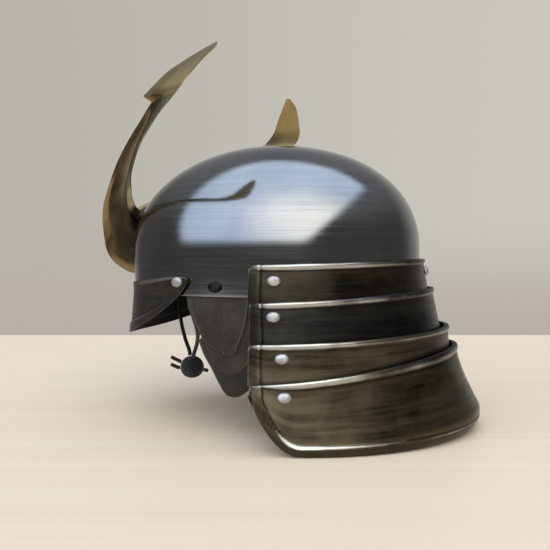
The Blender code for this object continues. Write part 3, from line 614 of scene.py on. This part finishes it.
# Painted shade: the dish low on the horns and the sides of the keel are painted near black.
shaded_dish = 0.92 * smooth(6.6, 3.6, climb) * smooth(0.28, 0.38, sideways) * smooth(0.80, 0.77, sideways)
shaded_keel = 0.92 * smooth(3.4, 1.6, climb) * smooth(0.05, 0.15, sideways)
marks = {"across": sideways, "blade": smooth(10.6, 11.4, climb),
         "band": smooth(10.8, 11.8, climb) * smooth(14.6, 12.4, climb) * smooth(0.9, 0.3, sideways),
         "root": np.maximum(shaded_dish, shaded_keel)}
sheet = grid_mesh("horn crest", turned, run, marks, parted=len(across) - 1)
tarnished = antique_brass("antique brass", (0.31, 0.22, 0.095), (0.37, 0.27, 0.12))
# The inner faces get a copy of the brass about twice as light: painted light on the far horn's inner face,
# which faces the window.
light_painted = antique_brass("sheltered brass", (0.60, 0.45, 0.20), (0.74, 0.57, 0.27))
crest = fit("horn_crest", sheet, tarnished, ["crest"], wall=CREST_WALL, centred=True, edge=0.00025, sharp=28,
            inside=light_painted)

# The ear flaps: three tongues of soft black-brown hide a side, cut by hand, lapped over one another
# inside the bowl and held there by one rivet through all three.
LEATHER, FLAP_DROP, FLAP_WIDE, FLAP_LEAN, FLAP_SAG = 0.0014, 0.0785, 0.048, 0.0092, 0.0015
EAR_TURN, EAR_LIFT = math.radians(80.5), 0.0075
TONGUES = {
    "upper": (0, np.array((
        (0.28, -0.40, 0.39), (0.14, -0.48, 0.50), (-0.04, -0.515, 0.54), (-0.24, -0.41, 0.50),
        (-0.38, -0.31, 0.43), (-0.485, -0.15, 0.35), (-0.54, 0.04, 0.32), (-0.567, 0.13, 0.28)))),
    "middle": (1, np.array((
        (0.28, -0.30, 0.35), (0.14, -0.40, 0.475), (-0.22, -0.31, 0.60), (-0.41, -0.275, 0.60),
        (-0.44, -0.35, 0.60), (-0.57, -0.285, 0.56), (-0.675, -0.19, 0.475), (-0.725, -0.10, 0.41),
        (-0.764, 0.04, 0.33)))),
    "lower": (2, np.array((
        (0.28, -0.21, 0.31), (0.14, -0.30, 0.475), (-0.28, -0.34, 0.64), (-0.585, -0.265, 0.66),
        (-0.74, -0.15, 0.66), (-0.865, -0.05, 0.60), (-0.955, 0.03, 0.45), (-1.00, 0.08, 0.34)))),
}


def hide():
    """Worn hide: grey-brown with paler scuffs, fine pores and soft creases, raw at the cut edge."""
    look, tree, shader, place = finish_of("ear flap hide", 0.0, 0.7)
    cloud = use_group(tree, STAINS, place, "Place", Size=30.0)
    pores = node(tree, "ShaderNodeTexVoronoi", Scale=900.0)
    tree.links.new(place, pores.inputs["Vector"])
    crinkle = noise(tree, place, 140.0, 5.0, 0.6)
    shader.inputs["Specular IOR Level"].default_value = 0.35
    tone = blend_colours(tree, cloud["Clouds"], (0.019, 0.015, 0.011), (0.036, 0.029, 0.022))
    tone = blend_colours(tree, maths(tree, "MULTIPLY", cloud["Specks"], 0.35), tone, (0.085, 0.072, 0.06))
    tone = blend_colours(tree, maths(tree, "MULTIPLY", mark(tree, "cut"), 0.6), tone, (0.11, 0.085, 0.065))
    tree.links.new(tone, shader.inputs["Base Color"])
    tree.links.new(spread(tree, crinkle, 0.3, 0.7, 0.55, 0.75), shader.inputs["Roughness"])
    bump(tree, shader, maths(tree, "MULTIPLY_ADD", pores.outputs[0], 0.35, crinkle), 0.45, 0.0003)
    return look


HIDE = hide()
ear_y = float(bowl_face(np.array(EAR_TURN), np.array(RIM_Z + EAR_LIFT))[1])


def tongue(name, side):
    """A tongue between its two edges, along the bowl's inside; it leans in by its drop to the power 1.8."""
    layer, rows = TONGUES[name]
    edges = through(rows, (0,) if name != "middle" else (0, 2, 3))
    share = np.linspace(0.0, 1.0, 31)[None, :]
    sag = FLAP_SAG * (1.0 - (2.0 * share - 1.0) ** 2) * smooth(-0.50, -0.56, edges[:, :1])
    height = RIM_Z + edges[:, :1] * FLAP_DROP - sag
    y = ear_y + (edges[:, 1:2] + (edges[:, 2:] - edges[:, 1:2]) * share) * FLAP_WIDE
    inset = BOWL_WALL + GAP + layer * (LEATHER + GAP)
    drop = np.clip(RIM_Z - height, 0.0, None) / FLAP_DROP
    half = HALF_WIDTH * plan_share(np.maximum(height, RIM_Z), 0.0) - inset - 2.0 * GAP
    along = (y - MIDDLE_Y) / (HALF_LENGTH - inset)
    x = half * np.sqrt(np.clip(1.0 - along ** 2, 0.0, None)) - FLAP_LEAN * drop ** 1.8
    points = np.stack(np.broadcast_arrays(x * side, y, height), axis=-1)[::-1]
    cut = np.exp(-(np.minimum(share, 1.0 - share) / 0.03) ** 2) + 0.0 * points[..., 2]
    tag = "left" if side == 1 else "right"
    mesh = grid_mesh(f"{name} tongue {tag}", points, points, {"cut": cut}, flip=side < 0)
    piece = fit(f"flap_{name}_{tag}", mesh, HIDE, [f"ear_flap_{name}_{tag}"], wall=LEATHER, even=False,
                edge=BROKEN_EDGE)


for side in (1, -1):
    for name in TONGUES:
        tongue(name, side)

# The rivets: soft iron with wide low oval heads, set hot and flattened by a few hammer blows. All are
# left bright but for the two that hold the ear flaps, which are blackened.
RIVET_WIDE, RIVET_TALL, RIVET_HIGH, SHANK = 0.0106, 0.0080, 0.0028, 0.0020
PROUD, REAR_PROUD, EAR_PROUD = 0.0006, 0.0015, 0.0016
LAME_RIVETS = {1: (0.196, 0.266), 2: (0.204, 0.212), 3: (0.263, 0.231), 4: (0.290, 0.161)}


def rivet_iron(name, dark, light, roughness):
    """Hammered iron: dented by the blows, lighter and darker in soft clouds."""
    look, tree, shader, place = finish_of(name, 1.0, roughness)
    cloud = use_group(tree, STAINS, place, "Place", Size=160.0)
    dents = node(tree, "ShaderNodeTexVoronoi", Scale=520.0)
    dents.feature = "SMOOTH_F1"
    tree.links.new(place, dents.inputs["Vector"])
    tone = blend_colours(tree, cloud["Clouds"], dark, light)
    tree.links.new(tone, shader.inputs["Base Color"])
    bump(tree, shader, dents.outputs[0], 0.5, 0.0005)
    return look


BRIGHT_IRON = rivet_iron("bright rivet iron", (0.40, 0.395, 0.385), (0.60, 0.595, 0.58), 0.55)
BLACK_IRON = rivet_iron("black rivet iron", (0.012, 0.012, 0.013), (0.035, 0.035, 0.036), 0.45)


def rivet(node_name, point, normal, deep, look, size=1.0):
    """A head turned from a domed profile and stretched level, its shank and its peened inner end."""
    tall, head = 0.5 * RIVET_TALL * size, RIVET_HIGH * size
    bow = np.linspace(0.0, 0.5 * math.pi, 14)
    profile = [(tall * math.sin(a) ** 0.9, head * math.cos(a) ** 0.75) for a in bow]
    profile += [(SHANK, 0.0), (SHANK, -deep), (SHANK * 1.6, -deep), (SHANK * 1.4, -deep - 0.001),
                (0.0, -deep - 0.001)]
    profile = np.array(profile)[::-1]
    angle = np.linspace(0.0, 2.0 * math.pi, 41)[None, :]
    radius, height = profile[:, :1], profile[:, 1:]
    wide = np.where(height > -0.00001, RIVET_WIDE / RIVET_TALL, 1.0)
    ease = np.where(radius > tall * 0.55, wide, 1.0 + (wide - 1.0) * smooth(0.0, tall * 0.55, radius))
    up = np.array((0.0, 0.0, 1.0))
    level = np.cross(up, normal)
    level = level / np.linalg.norm(level)
    raise_way = np.cross(normal, level)
    flat = radius * np.cos(angle) * ease
    points = (point + flat[..., None] * level + (radius * np.sin(angle))[..., None] * raise_way
              + (height + 0.0 * angle)[..., None] * normal)
    mesh = grid_mesh(node_name + " iron", points, points, {})
    piece = fit("set_" + node_name, mesh, look, [node_name], sharp=60)


def normal_of(surface, first, second, step=0.01):
    """A surface's outward normal from its two differences at a place."""
    point = surface(first, second)
    ahead, below = surface(first + step, second) - point, surface(first, second + step) - point
    way = np.cross(below, ahead)
    return point, way / np.linalg.norm(way)


def lame_spot(level, y, height):
    """The place on a lame at a distance back and a height, found by stepping down the lame eight times."""
    row = lame_sizes(level)
    share = (row[4] - height) / (row[4] - row[6])
    for _ in range(8):
        long = row[1] + (row[3] - row[1]) * (share ** 1.4 if row[6] == 0.0 else share)
        theta = math.asin(y / long)
        share += (float(lame_face(row, theta, share)[2]) - height) / (row[4] - row[6])
    return normal_of(lambda a, b: lame_face(row, a, b), theta, share)


mirror = np.array((-1.0, 1.0, 1.0))
for level, (back, share) in LAME_RIVETS.items():
    row = lame_sizes(level)
    y, height = back * LAME_LENGTH, row[4] + (row[6] - row[4]) * share
    spot, way = lame_spot(level, y, height)
    inside = HALF_WIDTH - BOWL_WALL if level == 1 else lame_spot(level - 1, y, height)[0][0] - LAME_WALL
    deep = abs(spot[0] - inside) + PROUD + GAP
    rivet(f"lame_rivet_{level}_left", spot + way * GAP, way, deep, BRIGHT_IRON)
    rivet(f"lame_rivet_{level}_right", (spot + way * GAP) * mirror, way * mirror, deep, BRIGHT_IRON)
first_lame = lame_sizes(1)
spot = lame_face(first_lame, 0.5 * math.pi, 0.24)
below = lame_face(first_lame, 0.5 * math.pi, 0.25) - spot
way = np.array((0.0, -below[2], below[1]))
way = way / np.linalg.norm(way)
deep = spot[1] - (MIDDLE_Y + HALF_LENGTH - BOWL_WALL) + REAR_PROUD + GAP
rivet("rear_rivet", spot + way * GAP, way, deep, BRIGHT_IRON)


def bowl_spot(turn, height):
    """A place on the bowl with its level normal."""
    point = bowl_face(np.array(turn), np.array(height))
    way = bowl_face(np.array(turn), np.array(height), 0.01) - point
    return point, way / np.linalg.norm(way)


top, low = brow_heights(0.93)
brow_spot = bowl_spot(0.93 * BROW_SPAN, top + (low - top) * 0.27)
ear_spot = bowl_spot(EAR_TURN, RIM_Z + EAR_LIFT)
for tag, flip in (("left", np.ones(3)), ("right", mirror)):
    out = BROW_WALL + 3.0 * GAP
    spot, way = brow_spot[0] * flip, brow_spot[1] * flip
    rivet(f"brow_rivet_{tag}", spot + way * out, way, out + BOWL_WALL + PROUD, BRIGHT_IRON)
    spot, way = ear_spot[0] * flip, ear_spot[1] * flip
    deep = BOWL_WALL + 3.0 * (LEATHER + GAP) + EAR_PROUD
    rivet(f"ear_rivet_{tag}", spot + way * GAP, way, deep, BLACK_IRON, size=1.08)

# The chin cord: a round braid of black cotton that hangs from inside the bowl on both sides and is tied
# below in one hard round knot, with its cut ends standing out of it.
CORD, KNOT = 0.0018, 0.0112
KNOT_MIDDLE = np.array((0.0, -0.0815, 0.0385))
BOWL_AROUND = 44


def knot_side(way, off=0.0):
    """The point just outside the knot in a direction, or further off."""
    way = np.array(way)
    return KNOT_MIDDLE + way / np.linalg.norm(way) * (KNOT + GAP + off)


def cord_top(turn):
    """Where the cord lies down along the bowl's inner face."""
    flat = HALF_LENGTH * (1.0 - math.cos(math.pi / BOWL_AROUND))
    inside = BOWL_WALL + GAP + flat + CORD * 1.1
    stops = ((0.022, 0.0), (0.013, 0.0), (0.005, 0.0008))
    return [bowl_face(np.array(turn), np.array(RIM_Z + rise), -inside - off) for rise, off in stops]


def black_braid():
    """Braided cotton: two sets of strands crossing at a slant, lighter on top with dusty specks, and painted
    shade near black between the strands.
    """
    look, tree, shader, place = finish_of("black braid", 0.0, 0.9)
    shader.inputs["Sheen Weight"].default_value = 0.25
    split = tree.nodes.new("ShaderNodeSeparateXYZ")
    tree.links.new(mark(tree, "run", "Vector"), split.inputs[0])
    strands = []
    for sign in (1.0, -1.0):
        slant = maths(tree, "ADD", maths(tree, "MULTIPLY", split.outputs[2], 1900.0),
                      maths(tree, "MULTIPLY", split.outputs[0], 4.0 * sign))
        strands.append(maths(tree, "ABSOLUTE", maths(tree, "SINE", slant)))
    weave = maths(tree, "MULTIPLY", strands[0], strands[1])
    cloud = use_group(tree, STAINS, place, "Place", Size=120.0)
    # Painted shade: near black where the strands cross under each other.
    tone = blend_colours(tree, weave, (0.004, 0.004, 0.004), (0.020, 0.020, 0.021))
    tone = blend_colours(tree, maths(tree, "MULTIPLY", cloud["Specks"], 0.3), tone, (0.06, 0.055, 0.05))
    tree.links.new(tone, shader.inputs["Base Color"])
    bump(tree, shader, weave, 0.8, 0.0004)
    return look


BRAID = black_braid()


def cord_mesh(name, path, radius):
    """A closed tube round a path: rings square to it, kept untwisted by the same upright, with flat ends."""
    ahead = np.gradient(path, axis=0)
    ahead = ahead / np.linalg.norm(ahead, axis=-1, keepdims=True)
    side = np.cross(ahead, (0.35, 0.9, 0.25))
    side = side / np.linalg.norm(side, axis=-1, keepdims=True)
    other = np.cross(ahead, side)
    angle = np.linspace(0.0, 2.0 * math.pi, 17)[None, :, None]
    size = np.concatenate([[0.0, 0.82], np.ones(len(path) - 2), [0.82, 0.0]])
    where = np.concatenate([[0], np.arange(len(path)), [len(path) - 1]])
    ring = path[where][:, None] + radius * size[:, None, None] * (
        np.cos(angle) * side[where][:, None] + np.sin(angle) * other[where][:, None])
    far = np.concatenate([[0.0], np.cumsum(np.linalg.norm(np.diff(path, axis=0), axis=-1))])[where]
    run = np.stack(np.broadcast_arrays(angle[..., 0], 0.0 * angle[..., 0], far[:, None]), axis=-1)
    return grid_mesh(name, ring, run, {}), float(far[-1])


def cord_run(name, stops, radius=CORD):
    """A braid along a smooth path through its stops."""
    rows = np.array([np.asarray(stop, dtype=float) for stop in stops])
    path = through(rows, ())
    keep = np.concatenate([[True], np.linalg.norm(np.diff(path, axis=0), axis=-1) > 0.00001])
    path = path[keep]
    mesh, length = cord_mesh(name + " braid", path, radius)
    piece = fit(name + "_braid", mesh, BRAID, [name])
    return piece, path, length


turn_of = np.linspace(0.0, 2.0 * math.pi, 65)[None, :]
rise_of = np.linspace(-0.5 * math.pi, 0.5 * math.pi, 41)[:, None]
wraps = np.abs(np.sin(3.0 * turn_of + 5.0 * np.sin(rise_of) * math.pi)) * np.cos(rise_of)
ball = KNOT * (0.86 + 0.14 * wraps ** 0.5)
knot_points = KNOT_MIDDLE + ball[..., None] * np.stack(np.broadcast_arrays(
    np.cos(rise_of) * np.cos(turn_of), np.cos(rise_of) * np.sin(turn_of), np.sin(rise_of)), axis=-1)
knot_run = np.stack(np.broadcast_arrays(turn_of * 2.0, 0.0 * turn_of, rise_of * KNOT), axis=-1)
knot = fit("tied_knot", grid_mesh("tied knot", knot_points, knot_run, {}), BRAID, ["chin_knot"])
way_left, way_right = (0.50, 0.30, 0.81), (-0.30, -0.30, 0.91)
left_stops = cord_top(math.radians(67.8)) + [
    (0.0835, -0.0505, 0.1030), (0.0510, -0.0570, 0.0800), (0.0170, -0.0700, 0.0640),
    knot_side(way_left, 0.006), knot_side(way_left)]
right_stops = cord_top(math.radians(-22.0)) + [
    (-0.0385, -0.1105, 0.1020), (-0.0230, -0.1020, 0.0800), (-0.0100, -0.0925, 0.0640),
    knot_side(way_right, 0.006), knot_side(way_right)]
for name, way, tip in (("upper", (0.20, -0.90, 0.42), (0.0055, -0.1005, 0.0480)),
                       ("lower", (0.30, -0.95, -0.02), (0.0065, -0.1003, 0.0412)),
                       ("rear", (0.30, 0.95, -0.10), (0.0060, -0.0640, 0.0368))):
    cord_run(f"cord_end_{name}", [knot_side(way), knot_side(way, 0.002), tip], CORD * 0.95)[0]
left_cord, left_path, left_length = cord_run("chin_cord_left", left_stops)
right_cord, right_path, right_length = cord_run("chin_cord_right", right_stops)

# The studio: a pale square table top in front of a plain wall, lit by one tall wide window of daylight on
# the wearer's left that reaches far overhead, and the camera at that side, a little behind and above.
ANGLE, PITCH, AWAY, TABLE = math.radians(14), math.radians(1.9), 0.6, 0.57
CAMERA_HIGH, LENS, SENSOR, PICTURE = 0.1457, 43.2, 36.0, 550.0


def pale_top():
    """A plain pale table top with the faintest level grain in it."""
    look, tree, shader, place = finish_of("pale table top", 0.0, 0.45)
    grain = use_group(tree, BRUSH_MARKS, mark(tree, "run", "Vector"), "Run", Along=2.0, Across=260.0)
    tone = blend_colours(tree, grain["Bands"], (0.84, 0.665, 0.485), (0.87, 0.715, 0.535))
    tone = blend_colours(tree, maths(tree, "MULTIPLY", grain["Strokes"], 0.35), tone, (0.80, 0.63, 0.45))
    tree.links.new(tone, shader.inputs["Base Color"])
    return look


edge_places = np.linspace(-TABLE, TABLE, 9)
deep, wide = edge_places[:, None], edge_places[None, :]
table_points = np.stack(np.broadcast_arrays(
    -deep * math.cos(ANGLE) - wide * math.sin(ANGLE), -deep * math.sin(ANGLE) + wide * math.cos(ANGLE),
    0.0 * deep + 0.0 * wide), axis=-1)
grain_run = np.stack(np.broadcast_arrays(wide, 0.0 * deep, deep), axis=-1)
table_mesh = grid_mesh("table top", table_points, grain_run, {})
table_mesh.materials.append(pale_top())
table = bpy.data.objects.new("table_top", table_mesh)
bpy.context.scene.collection.objects.link(table)

world = bpy.data.worlds.new("studio")
bpy.context.scene.world = world
world.use_nodes = True
sky = world.node_tree
direction = sky.nodes.new("ShaderNodeTexCoord").outputs["Generated"]
axes = sky.nodes.new("ShaderNodeSeparateXYZ")
sky.links.new(direction, axes.inputs[0])


def facing(way):
    """How far a direction of the room faces a given way: their dot product."""
    made = sky.nodes.new("ShaderNodeVectorMath")
    made.operation = "DOT_PRODUCT"
    made.inputs[1].default_value = way
    sky.links.new(direction, made.inputs[0])
    return made.outputs["Value"]


window = spread(sky, axes.outputs[2], 0.05, 0.20)
for way, low, high in (((0.733, 0.591, 0.336), -0.20, -0.04), ((0.246, -0.750, 0.614), -0.09, 0.04),
                       ((0.927, 0.0, 0.375), -0.10, 0.08)):
    window = maths(sky, "MULTIPLY", window, spread(sky, facing(way), low, high))
glow = maths(sky, "POWER", maths(sky, "MAXIMUM", maths(
    sky, "MULTIPLY_ADD", facing((0.790, 0.410, 0.456)), 3.0, -2.0), 0.0), 1.6)
wall = spread(sky, axes.outputs[0], -0.45, -0.95)
room = blend_colours(sky, wall, (0.13, 0.125, 0.115), (0.50, 0.485, 0.45))
room = blend_colours(sky, spread(sky, axes.outputs[2], 0.25, 0.8), room, (0.30, 0.31, 0.32))
daylight = blend_colours(sky, glow, (1.45, 1.70, 2.10), (3.25, 3.20, 2.95))
room = blend_colours(sky, window, room, daylight)
# The wall that the camera sees is painted, not lit: lighter to the right and warmer and darker low down, as
# painted light and shade.
across = facing((-math.sin(ANGLE), math.cos(ANGLE), 0.0))
backdrop = blend_colours(sky, spread(sky, across, -0.42, 0.42), (0.475, 0.455, 0.410), (0.590, 0.570, 0.520))
backdrop = blend_colours(sky, spread(sky, axes.outputs[2], 0.06, -0.12), backdrop, (0.47, 0.43, 0.385))
seen = sky.nodes.new("ShaderNodeLightPath").outputs["Is Camera Ray"]
sky.links.new(blend_colours(sky, seen, room, backdrop), sky.nodes["Background"].inputs["Color"])
bpy.context.scene.view_settings.view_transform = "Standard"

camera = bpy.data.objects.new("camera", bpy.data.cameras.new("camera"))
bpy.context.scene.collection.objects.link(camera)
camera.data.lens = LENS
camera.data.sensor_width = SENSOR
camera.data.shift_x = -1.0 / PICTURE
camera.location = (AWAY * math.cos(ANGLE), AWAY * math.sin(ANGLE), CAMERA_HIGH)
camera.rotation_euler = (0.5 * math.pi - PITCH, 0.0, ANGLE + 0.5 * math.pi)
bpy.context.scene.camera = camera
